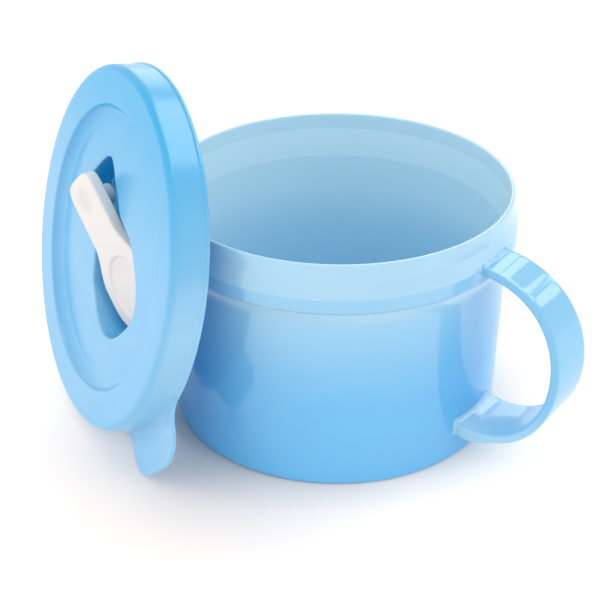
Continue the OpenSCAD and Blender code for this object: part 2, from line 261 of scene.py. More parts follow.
def end_round(k, power):
    """(1 - k^power)^(1 / power): 1 where an outline's end starts, 0 at its tip."""
    return (1.0 - np.clip(k, 0.0, 1.0) ** power) ** (1.0 / power)


def blend(a, b, k):
    """Straight mix of a and b."""
    return a + (b - a) * k


def dense(line, step):
    """The same polyline, its stretches divided evenly so that none is longer than step."""
    line = line[np.r_[True, np.linalg.norm(np.diff(line, axis=0), axis=1) > 1e-7]]
    span = np.linalg.norm(np.diff(line, axis=0), axis=1)
    parts = np.maximum(np.ceil(span / step), 1).astype(int)
    i = np.repeat(np.arange(len(parts)), parts)
    k = (np.arange(parts.sum()) - np.repeat(np.cumsum(parts) - parts, parts)) / parts[i]
    return np.vstack([blend(line[i], line[i + 1], k[:, None]), line[-1:]])


def rounded(corners, step=FINE_STEP):
    """Polyline through corners (r, z, radius), each corner turned into an arc.

    The arc's centre lies on the corner's bisector, radius / sin(half angle) from the corner,
    and its points swing evenly from one tangent point to the other.
    """
    corners = np.array(corners, float)
    line = [corners[:1, :2]]
    for before, here, after in zip(corners[:-2], corners[1:-1], corners[2:]):
        point, radius = here[:2], here[2]
        to_a, to_b = before[:2] - point, after[:2] - point
        to_a, to_b = to_a / np.linalg.norm(to_a), to_b / np.linalg.norm(to_b)
        half = np.arccos(np.clip(to_a @ to_b, -1.0, 1.0)) / 2
        if radius == 0 or half > 0.499 * pi:
            line.append(point[None])
            continue
        centre = point + (to_a + to_b) / np.linalg.norm(to_a + to_b) * radius / sin(half)
        first, last = (point + way * radius / tan(half) - centre for way in (to_a, to_b))
        swing = pi - 2 * half
        k = np.linspace(0, 1, TURNS)[:, None]
        arc = np.sin((1 - k) * swing) * first + np.sin(k * swing) * last
        line.append(centre + arc / sin(swing))
    return dense(np.concatenate([*line, corners[-1:, :2]]), step)


def hollow_sweep(p, q, count=14):
    """Hollow curve from p to q: the first value follows 1 - cos while the second runs evenly."""
    k = np.linspace(0, 1, count)
    return np.stack([blend(p[0], q[0], 1 - np.cos(pi / 2 * k)), blend(p[1], q[1], k)], 1)


def circle(count):
    """Even angles round a circle, from 0."""
    return np.linspace(0, 2 * pi, count, endpoint=False)


def lathe(profile, count):
    """Rings (r cos t, r sin t, z) of a profile (r, z) turned about Z."""
    t = circle(count)
    r, z = profile[:, :1], profile[:, 1:]
    return np.stack([r * np.cos(t), r * np.sin(t), z + 0 * t], -1)


def paddle_half(vent, x, grow):
    """Half width of the lever's outline at x: narrow, then an eased flare, both ends rounded."""
    flare_start, flare_run, tail, nose = -0.0076, 0.015, 0.007, 0.0114
    flare = ease((x - flare_start + grow) / flare_run)
    return ((vent.narrow + grow + flare * (vent.wide - vent.narrow))
            * end_round((tail - vent.back - grow - x) / tail, 3.5)
            * end_round((x - nose) / (vent.front + grow - nose), 2.7))


def paddle(vent, grow, t):
    """Points of the grown outline on rays at angles t from the pivot."""
    mid, half = (vent.front - vent.back) / 2, (vent.front + vent.back) / 2 + grow
    x = mid + half * np.cos(np.linspace(0, pi, 1500))
    y = paddle_half(vent, x, grow)
    turn = np.abs((t + pi) % (2 * pi) - pi)
    reach = np.interp(turn, np.arctan2(y, x), np.hypot(x, y))
    return np.stack([reach * np.cos(t), reach * np.sin(t)], -1)


def lifted(flat, z):
    """Flat points with a height."""
    return np.concatenate([flat, np.broadcast_to(z, flat.shape[:-1])[..., None]], -1)


def quarter_turn(count=TURNS):
    """Angles of a quarter turn, without its start."""
    return np.linspace(0, pi / 2, count)[1:]


def necked_reach(t, radius, length):
    """Distance from a round end's centre, at angles t, to the straight neck that carries it."""
    tiny = 1e-6
    return np.minimum(radius / np.maximum(np.abs(np.cos(t)), tiny),
                      length / np.maximum(np.abs(np.sin(t)), tiny))


# Meshes

def skin(rings, closed=False, caps=True):
    """Closed surface over rings: quads between neighbours, and fans to the end rings' middles.

    The faces are turned outwards by the sign of the volume that they enclose.
    """
    count, n = rings.shape[:2]
    points = rings.reshape(-1, 3)
    row = np.arange(count if closed else count - 1)[:, None] * n
    here, beside = np.arange(n)[None], (np.arange(n)[None] + 1) % n
    over = (row + n) % (count * n)
    quads = np.stack([row + here, row + beside, over + beside, over + here], -1).reshape(-1, 4)
    tris = np.zeros((0, 3), int)
    if caps and not closed:
        first, last = len(points), len(points) + 1
        top = (count - 1) * n
        tris = np.concatenate([
            np.stack([beside[0], here[0], np.full(n, first)], -1),
            np.stack([top + here[0], top + beside[0], np.full(n, last)], -1)])
        points = np.vstack([points, rings[0].mean(0), rings[-1].mean(0)])
    corners = np.concatenate([quads[:, :3], quads[:, [0, 2, 3]], tris])
    a, b, c = (points[corners[:, i]] for i in range(3))
    if np.einsum("ij,ij->", a, np.cross(b, c)) < 0:
        quads, tris = quads[:, ::-1], tris[:, ::-1]
    return points, quads, tris


def piece(name, skins, material, body, nodes, painted_shading=0.0):
    """One smooth mesh object from closed surfaces, riding on its body in place of its nodes.

    Painted shading makes points deeper, below 0, as painted shade, or paler, above 0, as painted
    light. It is given for the first points.
    """
    starts = np.cumsum([0] + [len(points) for points, _, _ in skins])
    points = np.concatenate([points for points, _, _ in skins])
    quads = np.concatenate([quads + s for (_, quads, _), s in zip(skins, starts)])
    tris = np.concatenate([tris + s for (_, _, tris), s in zip(skins, starts)])
    loops = np.concatenate([quads.ravel(), tris.ravel()])
    first = np.concatenate([np.arange(len(quads)) * 4, quads.size + np.arange(len(tris)) * 3])
    mesh = bpy.data.meshes.new(name)
    mesh.vertices.add(len(points))
    mesh.vertices.foreach_set("co", points.astype(np.float32).ravel())
    mesh.loops.add(len(loops))
    mesh.loops.foreach_set("vertex_index", loops.astype(np.int32))
    mesh.polygons.add(len(first))
    mesh.polygons.foreach_set("loop_start", first.astype(np.int32))
    mesh.update(calc_edges=True)
    mesh.shade_smooth()
    if mesh.validate():
        raise RuntimeError(f"{name} has faulty faces")
    mesh.materials.append(material)
    # Painted light and shade per point, kept as a mesh attribute that the material reads
    painted_shading_values = np.zeros(len(points), np.float32)
    painted_shading_values[:np.size(painted_shading)] = np.ravel(painted_shading)
    mesh.attributes.new("painted_shading", "FLOAT", "POINT").data.foreach_set("value", painted_shading_values)
    made = bpy.data.objects.new(name, mesh)
    bpy.context.scene.collection.objects.link(made)
    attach(made, body)
    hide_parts(*nodes)
    return made


# Materials

def material(name):
    """New material with nodes; returns it with its tree and its main shader."""
    made = bpy.data.materials.new(name)
    made.use_nodes = True
    return made, made.node_tree, made.node_tree.nodes["Principled BSDF"]


def add(tree, kind, links=(), **inputs):
    """New node with the given input values; links pairs an input with an output socket."""
    made = tree.nodes.new(kind)
    for key, value in inputs.items():
        made.inputs[key.replace("_", " ")].default_value = value
    for key, socket in links:
        tree.links.new(socket, made.inputs[key])
    return made


def weighted(tree, value, weight, base):
    """Socket that carries value x weight + base, kept within 0 and 1; the weight is a number."""
    made = add(tree, "ShaderNodeMath", [(0, value), (2, base)])
    made.operation, made.use_clamp = "MULTIPLY_ADD", True
    made.inputs[1].default_value = weight
    return made.outputs["Value"]


def combined(tree, operation, sockets):
    """Socket that carries an operation of two or more sockets, one after the other."""
    result = sockets[0]
    for socket in sockets[1:]:
        made = add(tree, "ShaderNodeMath", [(0, result), (1, socket)])
        made.operation = operation
        result = made.outputs["Value"]
    return result


def moulded(name, colours, heights, roughness, coat, glow=0.0):
    """Moulded plastic: flow marks in the colour, uneven gloss, faintly wavy faces.

    Colour = ramp of four colours. A rise between two heights (painted light and shade on the blue
    plastic) and a broad, stretched noise move between the middle two; painted shading moves on to
    the outer two.
    Roughness = base +- a tenth by a second noise. A third noise, through a weak bump, makes the
    faces wavy, as sunk plastic is. The clear coat is given as weight, index and roughness.
    """
    made, tree, shader = material(name)
    place = add(tree, "ShaderNodeTexCoord").outputs["Object"]
    stretch = add(tree, "ShaderNodeMapping", [("Vector", place)], Scale=(1.0, 1.0, 2.2))
    flow = add(tree, "ShaderNodeTexNoise", [("Vector", stretch.outputs["Vector"])],
               Scale=26.0, Detail=2.0, Roughness=0.45, Distortion=0.6)
    height = add(tree, "ShaderNodeSeparateXYZ", [("Vector", place)]).outputs["Z"]
    # Rise with height between the deep and the light colour: on the blue plastic this is painted
    # light and shade
    rise = add(tree, "ShaderNodeMapRange", [("Value", height)],
               From_Min=heights[0], From_Max=heights[1], To_Min=0.26, To_Max=0.66)
    rise.interpolation_type = "SMOOTHSTEP"
    # Painted light and shade per point push the colour on to the ramp's outer stops
    painted_shading = add(tree, "ShaderNodeAttribute")
    painted_shading.attribute_name = "painted_shading"
    mark_weight, shading_paint_weight, inner_stops, spread = 0.08, 0.3, (0.3, 0.7), 0.1
    marked = weighted(tree, flow.outputs["Fac"], mark_weight, rise.outputs["Result"])
    share = weighted(tree, painted_shading.outputs["Fac"], shading_paint_weight, marked)
    ramp = add(tree, "ShaderNodeValToRGB", [("Fac", share)])
    stops = ramp.color_ramp.elements
    for stop_place in inner_stops:
        stops.new(stop_place)
    for stop, colour in zip(stops, colours):
        stop.color = (*colour, 1.0)
    tree.links.new(ramp.outputs["Color"], shader.inputs["Base Color"])
    haze = add(tree, "ShaderNodeTexNoise", [("Vector", place)], Scale=70.0, Detail=3.0)
    gloss = add(tree, "ShaderNodeMapRange", [("Value", haze.outputs["Fac"])],
                From_Min=0.3, From_Max=0.7,
                To_Min=(1 - spread) * roughness, To_Max=(1 + spread) * roughness)
    tree.links.new(gloss.outputs["Result"], shader.inputs["Roughness"])
    waves = add(tree, "ShaderNodeTexNoise", [("Vector", place)], Scale=90.0, Detail=1.0)
    bump = add(tree, "ShaderNodeBump", [("Height", waves.outputs["Fac"])],
               Strength=0.05, Distance=0.0004)
    tree.links.new(bump.outputs["Normal"], shader.inputs["Normal"])
    shader.inputs["Specular IOR Level"].default_value = 0.1
    for part, value in zip(("Weight", "IOR", "Roughness"), coat):
        shader.inputs[f"Coat {part}"].default_value = value
    shader.inputs["Subsurface Weight"].default_value = glow
    shader.inputs["Subsurface Radius"].default_value = (0.06, 0.5, 1.0)
    shader.inputs["Subsurface Scale"].default_value = 0.003
    return made


def blue_plastic(name, deep, light, heights, roughness, coat):
    """Blue plastic at a given gloss, paling from deep to light between two heights as painted light
    and shade, with a painted shade azure and a painted light blue at the ends.
    """
    finish = bpy.context.scene.mug_finish
    colours = finish.shaded, deep, light, finish.painted_light_blue
    return moulded(name, colours, heights, roughness, coat)


# Bowl and handle

def wall_radius(bowl, z):
    """Outer radius of the bowl at a height: straight wall, collar, shoulder and neck."""
    neck = bowl.height - bowl.neck
    collar = neck - bowl.shoulder
    low = collar - bowl.collar
    body = bowl.rim_radius - bowl.body_in
    out = bowl.rim_radius + bowl.collar_out
    return np.interp(z, [0, low - bowl.blend, low, collar, neck],
                     [body - bowl.taper, body, out, out, bowl.rim_radius])


def bowl_profile(bowl):
    """Profile (r, z) of the bowl from under its base over the rim to its floor, and its painted
    shading.

    Painted light makes the inside paler, against the shade of the empty bowl. Outside, painted
    light rises with the blend up to the collar and falls again in the crease by exp(-d^2), d being
    the height from the collar's edge; painted shade makes the collar deeper, and painted light the
    neck a little paler.
    """
    neck = bowl.height - bowl.neck
    collar_top = neck - bowl.shoulder
    collar_low = collar_top - bowl.collar
    body_top = collar_low - bowl.blend
    rim, lip = bowl.rim_radius, bowl.lip
    collar, body = rim + bowl.collar_out, rim - bowl.body_in
    foot, recess = body - bowl.taper, bowl.foot_recess
    ring_width, inset, gate, gate_depth, soft = 0.0085, 0.00004, 0.003, 0.0003, 0.0006
    ring_in = foot - ring_width
    outside = rounded([
        (POLE, recess + gate_depth, 0), (gate, recess + gate_depth, 0),
        (gate + gate_depth, recess, 0), (ring_in, recess, soft), (ring_in + soft, 0, soft),
        (foot - inset, 0, bowl.foot_round), (body, body_top, 0)])
    step = hollow_sweep((body, body_top), (collar, collar_low))
    edge, collar_round, neck_round, mouth_round, wall_round = 0.0009, 0.0011, 0.0014, 0.0016, 0.0024
    lip_round, floor_in = 0.499 * lip, 0.0002
    under = step[-1] + (step[-2] - step[-1]) * edge / np.linalg.norm(step[-2] - step[-1])
    inside = rounded([
        (*under, 0), (collar, collar_low, edge), (collar, collar_top, collar_round),
        (rim, neck, neck_round), (rim, bowl.height, lip_round), (rim - lip, bowl.height, lip_round),
        (rim - lip, neck, mouth_round), (body - bowl.wall, collar_low, wall_round),
        (foot - bowl.wall - floor_in, bowl.base, bowl.floor_round), (POLE, bowl.base, 0)])
    profile = np.vstack([outside[:-1], step[:-1], inside])
    z = profile[:, 1]
    # Painted light inside, on the blend and on the neck; painted shade on the collar and, by the
    # dip, in its crease
    inside_light_paint, blend_light_paint, collar_shade_paint, neck_light_paint, crease_height = 1.5, 0.9, -0.35, 0.15, 0.0009
    sweep = np.clip((z - body_top) / bowl.blend, 0, 1)
    crease = np.exp(-((z - collar_low) / crease_height) ** 2)
    outer = np.select([z < collar_low, z < collar_top],
                      [blend_light_paint * (sweep - crease), collar_shade_paint], neck_light_paint)
    within = np.arange(len(profile)) > np.argmax(z)
    return profile, np.where(within, inside_light_paint, outer)


class MUG_OT_bowl(bpy.types.Operator):
    """Build the bowl as one profile turned about Z, outside and inside"""

    bl_idname = "mug.bowl"
    bl_label = "Bowl"

    def execute(self, context):
        profile, painted_shading = bowl_profile(context.scene.mug_bowl)
        # Painted light and shade by height: the bowl pales from its deep blue near the base to its
        # light blue near the rim
        finish, painted_light_from, painted_light_to = context.scene.mug_finish, 0.025, 0.078
        plastic = blue_plastic("mug_blue", finish.mug_deep, finish.mug_light, (painted_light_from, painted_light_to),
                               finish.mug_roughness, (0.6, 2.0, 0.1))
        piece("mug_bowl", [skin(lathe(profile, ROUND_COUNT))], plastic, "mug",
              ["bowl"], np.repeat(painted_shading, ROUND_COUNT))
        return {"FINISHED"}


def cubic(p, k):
    """Points of a cubic curve and its unit normals to the left of travel."""
    k = k[:, None]
    j = 1 - k
    at = j**3 * p[0] + 3 * k * j**2 * p[1] + 3 * k * k * j * p[2] + k**3 * p[3]
    way = j**2 * (p[1] - p[0]) + 2 * k * j * (p[2] - p[1]) + k * k * (p[3] - p[2])
    way /= np.linalg.norm(way, axis=1)[:, None]
    return at, np.stack([-way[:, 1], way[:, 0]], 1)


def strap_section():
    """Rounded oblong as shares: (side share, side turn, depth share, depth turn) of each point.

    A point is share x (half size - radius) + turn x radius, so one table serves every ring.
    """
    corner = np.linspace(0, pi / 2, TURNS)
    across = np.linspace(1, -1, 11)[1:-1]
    rows = []
    for quarter, (side, depth) in enumerate([(1, 1), (-1, 1), (-1, -1), (1, -1)]):
        turn = corner + quarter * pi / 2
        rows.append(np.stack([side + 0 * turn, np.cos(turn), depth + 0 * turn, np.sin(turn)], 1))
        if quarter in (0, 2):
            flat = across * (1 if quarter == 0 else -1)
            rows.append(np.stack([flat, 0 * flat, depth + 0 * flat, depth + 0 * flat], 1))
    return np.concatenate(rows)


def strap_line(strap, bowl):
    """Points (x, z) of the strap's outer face and their normals, along an upper and a lower cubic.

    The shares place the cubics' inner points. Points crowd towards both roots by a power law.
    """
    root = bowl.rim_radius - bowl.body_in
    foot = root - bowl.taper - bowl.wall
    rise = strap.wide_height - strap.foot_height
    top_out_share, top_hold_share = 0.55, 0.62
    low_hold_share, low_out_share, sag_share, crowding = 0.63, 0.62, 0.22, 1.35
    top = np.array([
        (root, strap.top_height),
        (root + top_out_share * (strap.reach - root), strap.top_height),
        (strap.reach, strap.wide_height + top_hold_share * (strap.top_height - strap.wide_height)),
        (strap.reach, strap.wide_height)])
    low = np.array([
        (strap.reach, strap.wide_height),
        (strap.reach, strap.wide_height - low_hold_share * rise),
        (foot + low_out_share * (strap.reach - foot), strap.foot_height - sag_share * rise),
        (foot, strap.foot_height)])
    k = np.linspace(0, 1, 80)
    upper, lower = cubic(top, k**crowding), cubic(low, 1 - (1 - k[1:]) ** crowding)
    return tuple(np.vstack(pair) for pair in zip(upper, lower))


class MUG_OT_handle(bpy.types.Operator):
    """Build the strap handle: a rounded oblong carried along two cubic curves"""

    bl_idname = "mug.handle"
    bl_label = "Handle"

    def execute(self, context):
        strap, bowl = context.scene.mug_handle, context.scene.mug_bowl
        root, swell_run, fade_height = bowl.rim_radius - bowl.body_in, 0.014, 0.01
        at, normal = strap_line(strap, bowl)
        middle = at - normal * strap.thickness / 2
        share = (strap.top_height - at[:, 1]) / (strap.top_height - strap.foot_height)
        half = blend(strap.top_width, strap.foot_width, share)[:, None] / 2
        side, side_turn, depth, depth_turn = strap_section().T[:, None]
        radius = strap.edge_round
        swollen = strap.root_swell * ease((root + swell_run - at[:, :1]) / swell_run)
        swollen = swollen * ease((strap.wide_height - at[:, 1:]) / fade_height)
        y = side * (half - radius) + side_turn * radius
        d = depth * (strap.thickness / 2 - radius) + depth_turn * radius + 0 * half
        d = d + swollen * (depth > 0)
        x = middle[:, :1] + d * normal[:, :1]
        z = middle[:, 1:] + d * normal[:, 1:]
        skin_x = np.sqrt(wall_radius(bowl, z) ** 2 - y**2)

        def swell(radius):
            """Growth of the section in a round fillet: full at the wall, none a radius away."""
            near = np.clip(radius - (x - skin_x), 0, radius)
            return radius - np.sqrt(radius**2 - near**2)

        face = swell(strap.root_fillet) * depth_turn
        lower = ease((strap.wide_height - z) / fade_height)
        y = y + swell(strap.side_fillet) * side_turn * lower
        x = x + face * normal[:, :1]
        z = z + face * normal[:, 1:]
        x = np.maximum(x, skin_x - bowl.wall / 2)
        rings = np.stack([x, y, z], -1)
        # Painted light and shade by height: the handle is paler towards its foot and deeper towards
        # its top
        finish, shade_paint_from, light_paint_from = context.scene.mug_finish, 0.035, 0.01
        plastic = blue_plastic("handle_blue", finish.handle_deep, finish.handle_light,
                               (shade_paint_from, light_paint_from), finish.mug_roughness, (0.7, 1.9, 0.07))
        piece("mug_handle", [skin(rings)], plastic, "mug", ["handle"])
        return {"FINISHED"}


# Lid and lever

def turn_y(angle):
    """Matrix of a turn about Y."""
    return np.array([[cos(angle), 0, sin(angle)], [0, 1, 0], [-sin(angle), 0, cos(angle)]])


def turn_z(angle):
    """Matrix of a turn about Z."""
    return np.array([[cos(angle), -sin(angle), 0], [sin(angle), cos(angle), 0], [0, 0, 1]])


def lid_place():
    """Turn and origin of the lid; the CAD hinge fixes the origin."""
    lid, vent = bpy.context.scene.mug_lid, bpy.context.scene.mug_vent
    hinge = next(joint for joint in frame["joints"] if joint["name"] == "vent_hinge")
    turn = turn_z(lid.azimuth) @ turn_y(pi / 2 - lid.lean) @ turn_z(lid.spin)
    return turn, np.array(hinge["pos_m"]) - turn @ (vent.pivot_x, 0, vent.pivot_z)


def pocket_outline(vent, grow):
    """The lever's outline, grown by a gap, about the lid's axis."""
    return np.array([vent.pivot_x, 0]) + paddle(vent, grow, circle(LID_COUNT))


def pocket_floor(vent, x):
    """Height of the pocket's floor: level, then an eased drop to the well under the thumb end."""
    well_start, well_run = 0.0106, 0.003
    return blend(vent.floor_z, vent.well_z, ease((x - well_start) / well_run))


def lid_top_profiles(lid):
    """Profiles (r, z) from the skirt's lower edge to the ring's inner edge, and on to the panel.

    The step to the panel is an arc that starts at the steepest slope and ends level.
    """
    lip_out, lip_height, lip_rise, lip_round = 0.00045, 0.001, 1.4, 0.0002
    soft, ring_round = 0.0004, 0.0008
    panel, run, steep = lid.height - lid.panel_sink, 0.0006, lid.panel_slope
    skirt_out, skirt_in = lid.lip_radius - lip_out, lid.lip_radius - LIP_STEP - lid.skirt
    ring_in = lid.panel_radius + lid.panel_step
    foot_r, foot_z = ring_in - run * cos(steep), lid.height - run * sin(steep)
    top = rounded([
        (skirt_in + soft, 0, 0), (lid.lip_radius, 0, soft), (lid.lip_radius, lip_height, lip_round),
        (skirt_out, lip_height + lip_rise * lip_out, lip_round),
        (lid.top_radius, lid.height - lid.edge_round, 0),
        (lid.top_radius, lid.height, lid.edge_round), (ring_in, lid.height, ring_round),
        (foot_r, foot_z, 0)], LID_STEP)
    turn = np.linspace(steep, 0, 20)[1:]
    hollow = (foot_z - panel) / (1 - cos(steep))
    step = np.stack([foot_r - hollow * (sin(steep) - np.sin(turn)),
                     panel + hollow * (1 - np.cos(turn))], 1)
    return top, step


def pocket_rings(lid, vent, panel_edge):
    """Rings from the panel's edge to the pocket, down its wall and over its floor to the vent hole.

    From the circle to the outline, and on to the hole, rings are straight mixes of two curves.
    """
    panel, margin, foot, hole_gap = lid.height - lid.panel_sink, 0.0004, POCKET_FOOT, 0.00045
    panel_ring = lathe(panel_edge[None] - (margin, 0), LID_COUNT)[0]
    edge = lifted(pocket_outline(vent, vent.gap + vent.rim_round), panel)
    rings = [blend(panel_ring, edge, k) for k in np.linspace(0, 1, 14)]
    rings += [lifted(pocket_outline(vent, vent.gap + vent.rim_round * (1 - sin(a))),
                     panel - vent.rim_round * (1 - cos(a))) for a in quarter_turn()]
    wall = pocket_outline(vent, vent.gap)
    floor = pocket_floor(vent, wall[:, 0])
    rings += [lifted(wall, blend(panel - vent.rim_round, floor + foot, k))
              for k in np.linspace(0, 1, 10)[1:]]
    rings += [lifted(pocket_outline(vent, vent.gap - foot * (1 - cos(a))),
                     floor + foot * (1 - sin(a))) for a in quarter_turn()]
    inner = pocket_outline(vent, vent.gap - foot)
    hole_x, hole_radius = vent.pivot_x - vent.peg_back, vent.peg_radius + hole_gap
    swing = np.arctan2(inner[:, 1], inner[:, 0] - hole_x)
    hole = np.stack([hole_x + hole_radius * np.cos(swing), hole_radius * np.sin(swing)], 1)
    for k in np.linspace(0, 1, 22)[1:]:
        flat = blend(inner, hole, k)
        rings.append(lifted(flat, pocket_floor(vent, flat[:, 0])))
    return rings, hole


def lid_under_rings(lid, vent, hole):
    """Rings from the vent hole out under the pocket, up its outer wall and along the underside."""
    under, panel_under = lid.height - lid.top, lid.height - lid.panel_sink - lid.top
    foot, soft, step_round, step_start, step_end = POCKET_FOOT, 0.0004, 0.0005, 0.0008, 0.0012
    plug_in, plug_low = lid.plug_radius - lid.plug, under - lid.plug_depth
    ring_in, skirt_in = lid.panel_radius + lid.panel_step, lid.lip_radius - LIP_STEP - lid.skirt
    tub = vent.gap + vent.tub_wall
    low, outer = pocket_outline(vent, tub - foot), pocket_outline(vent, tub)
    rings = []
    for k in np.linspace(0, 1, 22):
        flat = blend(hole, low, k)
        rings.append(lifted(flat, pocket_floor(vent, flat[:, 0]) - vent.tub_floor))
    base = pocket_floor(vent, outer[:, 0]) - vent.tub_floor
    rings += [lifted(pocket_outline(vent, tub - foot * (1 - sin(a))), base + foot * (1 - cos(a)))
              for a in quarter_turn()]
    rings += [lifted(outer, blend(base + foot, panel_under - foot, k))
              for k in np.linspace(0, 1, 10)[1:]]
    rings += [lifted(pocket_outline(vent, tub + foot * (1 - cos(a))),
                     panel_under - foot * (1 - sin(a))) for a in quarter_turn()]
    start = lifted(pocket_outline(vent, tub + foot), panel_under)
    round_part = lathe(rounded([
        (lid.panel_radius, panel_under, 0),
        (lid.panel_radius + step_start, panel_under, step_round),
        (ring_in + step_end, under, step_round), (plug_in, under, soft), (plug_in, plug_low, soft),
        (lid.plug_radius, plug_low, soft), (lid.plug_radius, under, soft),
        (lid.top_radius - lid.skirt, under, soft), (skirt_in, 0, soft), (skirt_in + soft, 0, 0)],
        LID_STEP), LID_COUNT)
    rings += [blend(start, round_part[0], k) for k in np.linspace(0, 1, 12)[1:-1]]
    return [*rings, *round_part[:-1]]


def lid_shell(lid, vent):
    """Rings of the lid's whole skin, from the skirt's edge over the top and back underneath.

    Returns them with their painted shading: painted light makes the skirt paler, and painted shade
    makes the pocket deeper with its depth, most of all at its narrow end.
    """
    top, step = lid_top_profiles(lid)
    outside = [*lathe(top, LID_COUNT), *lathe(step, LID_COUNT)]
    pocket, hole = pocket_rings(lid, vent, step[-1])
    rings = np.stack([*outside, *pocket, *lid_under_rings(lid, vent, hole)])
    x, z, ring = rings[..., 0], rings[..., 2], np.arange(len(rings))[:, None]
    in_skirt = ring < len(top)
    in_pocket = (ring >= len(outside)) & (ring < len(outside) + len(pocket))
    # Painted light on the skirt, fading out at the top ring; painted shade in the vent pocket,
    # growing with depth and towards the narrow end
    skirt_light_paint, skirt_run, wide_share, narrow_run, deep_run = 0.3, 0.003, 0.5, 0.01, 0.004
    skirt_light_mask = ease((lid.height - z) / skirt_run)
    narrow = ease((vent.pivot_x - x) / narrow_run)
    depth = ease((lid.height - lid.panel_sink - z) / deep_run) * blend(wide_share, 1.0, narrow)
    return rings, skirt_light_paint * skirt_light_mask * in_skirt - depth * in_pocket


def tab_rings(lid):
    """Rings of the lifting tab: slices that run out from inside the skirt to the tab's outline.

    Past the lip the half width narrows by a cube law, and the far corners are arcs. The upper face
    rises into the skirt by a round fillet and sags between its edges, which are rounded.
    """
    base_angle, fade_angle, overlap, step = radians(22), radians(7), 0.0016, 0.0006
    corner, soft, fillet, sag, sag_run = 0.0105, 0.0006, 0.0018, 0.0007, 0.004
    tip, thick, width = lid.lip_radius + lid.tab_reach, lid.tab_thickness, lid.tab_width / 2
    skirt, inside = lid.lip_radius - LIP_STEP, lid.lip_radius - overlap
    bend, start = tip - corner, lid.lip_radius * cos(base_angle)
    wide = lid.lip_radius * sin(base_angle)
    k = np.linspace(0, 1, 50)
    side_x, turn = blend(start, bend, k[:-1]), k * pi / 2
    half = np.r_[width + (wide - width) * (1 - k[:-1]) ** 3, width - corner + corner * np.cos(turn)]
    x = np.r_[side_x, bend + corner * np.sin(turn)]
    line = dense(np.vstack([np.stack([x, half], 1), np.stack([x, -half], 1)[::-1]]), step)
    way = np.gradient(line, axis=0)
    out = np.stack([-way[:, 1], way[:, 0]], 1) / np.linalg.norm(way, axis=1)[:, None]
    ray = line / np.linalg.norm(line, axis=1)[:, None]
    slices = np.linspace(0, 1, 30)[:, None]
    flat = blend((inside * ray)[:, None], (line - soft * out)[:, None], slices)
    reach = np.linalg.norm(flat, axis=2)
    near = np.clip(fillet + skirt - reach, 0, fillet)
    rise = fillet - np.sqrt(fillet**2 - near**2)
    rise = rise * ease((base_angle - np.abs(np.arctan2(flat[..., 1], flat[..., 0]))) / fade_angle)
    dip = sag * np.maximum(1 - (flat[..., 1] / width) ** 2, 0)
    dip = dip * ease((reach - skirt) / sag_run) * ease((reach[:, -1:] - reach) / sag_run)
    top = thick + rise - dip
    swing = np.linspace(0, pi, 2 * TURNS)[1:-1]
    edge = line[:, None] - (soft * (1 - np.sin(swing)))[:, None] * out[:, None]
    edge_z = np.where(swing < pi / 2, top[:, -1:] - soft * (1 - np.cos(swing)),
                      soft * (1 + np.cos(swing)))
    return np.concatenate([lifted(flat, top), lifted(edge, edge_z), lifted(flat[:, ::-1], 0.0)], 1)


def bearing_rings(vent):
    """Rings of the hinge bearing: a round head on a straight foot, bored for the pin."""
    t, wall, play = circle(72), 0.0013, 0.00005
    radius, bore = vent.pin_radius + wall, vent.pin_radius + play
    depth = vent.pivot_z - vent.floor_z + vent.tub_floor / 2
    reach = np.where(np.sin(t) >= 0, radius, necked_reach(t, radius, depth))
    return np.stack([
        np.stack([vent.pivot_x + size * np.cos(t), y + 0 * t, vent.pivot_z + size * np.sin(t)], 1)
        for size, y in ((reach, -BEARING_HALF), (bore, -BEARING_HALF),
                        (bore, BEARING_HALF), (reach, BEARING_HALF))])


class MUG_OT_lid(bpy.types.Operator):
    """Build the lid: skirt, ring, sunken panel, vent pocket, plug ring, bearing and lifting tab"""

    bl_idname = "mug.lid"
    bl_label = "Lid"

    def execute(self, context):
        lid, vent = context.scene.mug_lid, context.scene.mug_vent
        turn, origin = lid_place()
        shell, painted_shading = lid_shell(lid, vent)
        shell, tab, bearing = (
            made @ turn.T + origin for made in (shell, tab_rings(lid), bearing_rings(vent)))
        # Painted light on the tab, and painted light and shade by height: the lid deeper towards
        # its top, paler lower down
        tab_light_paint, shade_paint_from, light_paint_from = 0.2, 0.12, 0.06
        painted_shading = np.append(painted_shading, np.full(tab.size // 3, tab_light_paint))
        finish = context.scene.mug_finish
        plastic = blue_plastic("lid_blue", finish.lid_deep, finish.lid_light,
                               (shade_paint_from, light_paint_from), finish.lid_roughness, (0.7, 1.85, 0.2))
        piece("mug_lid", [skin(shell, closed=True), skin(tab), skin(bearing, closed=True)], plastic,
              "lid", ["lid_skirt", "lid_top", "vent_pocket"], painted_shading)
        return {"FINISHED"}


def dish(flat, centre_x, radius, depth):
    """Depth of a ball-shaped dish at flat points, its rim softened by a hyperbola."""
    soft, ball = 0.00005, (radius**2 + depth**2) / (2 * depth)
    away = np.minimum((flat[..., 0] - centre_x) ** 2 + flat[..., 1] ** 2, ball**2)
    sunk = np.sqrt(ball**2 - away) - ball + depth
    return (sunk + np.sqrt(sunk**2 + soft**2)) / 2


def scoop(flat, vent):
    """Depth of the thumb scoop at flat points: a steep wall round an egg, and a dished bottom.

    The egg is a circle drawn out by a fifth towards the front. With r the distance from its
    middle, the wall falls by a smooth step between r = radius and r = radius - wall.
    """
    centre_x, wall, share, stretch = 0.0108, 0.0016, 0.5, 1.2
    x = flat[..., 0] - centre_x
    r = np.hypot(np.where(x > 0, x / stretch, x), flat[..., 1])
    hollow = 1 - np.minimum(r / (vent.scoop_radius - wall), 1) ** 2
    return vent.scoop_depth * blend(ease((vent.scoop_radius - r) / wall), hollow, share)


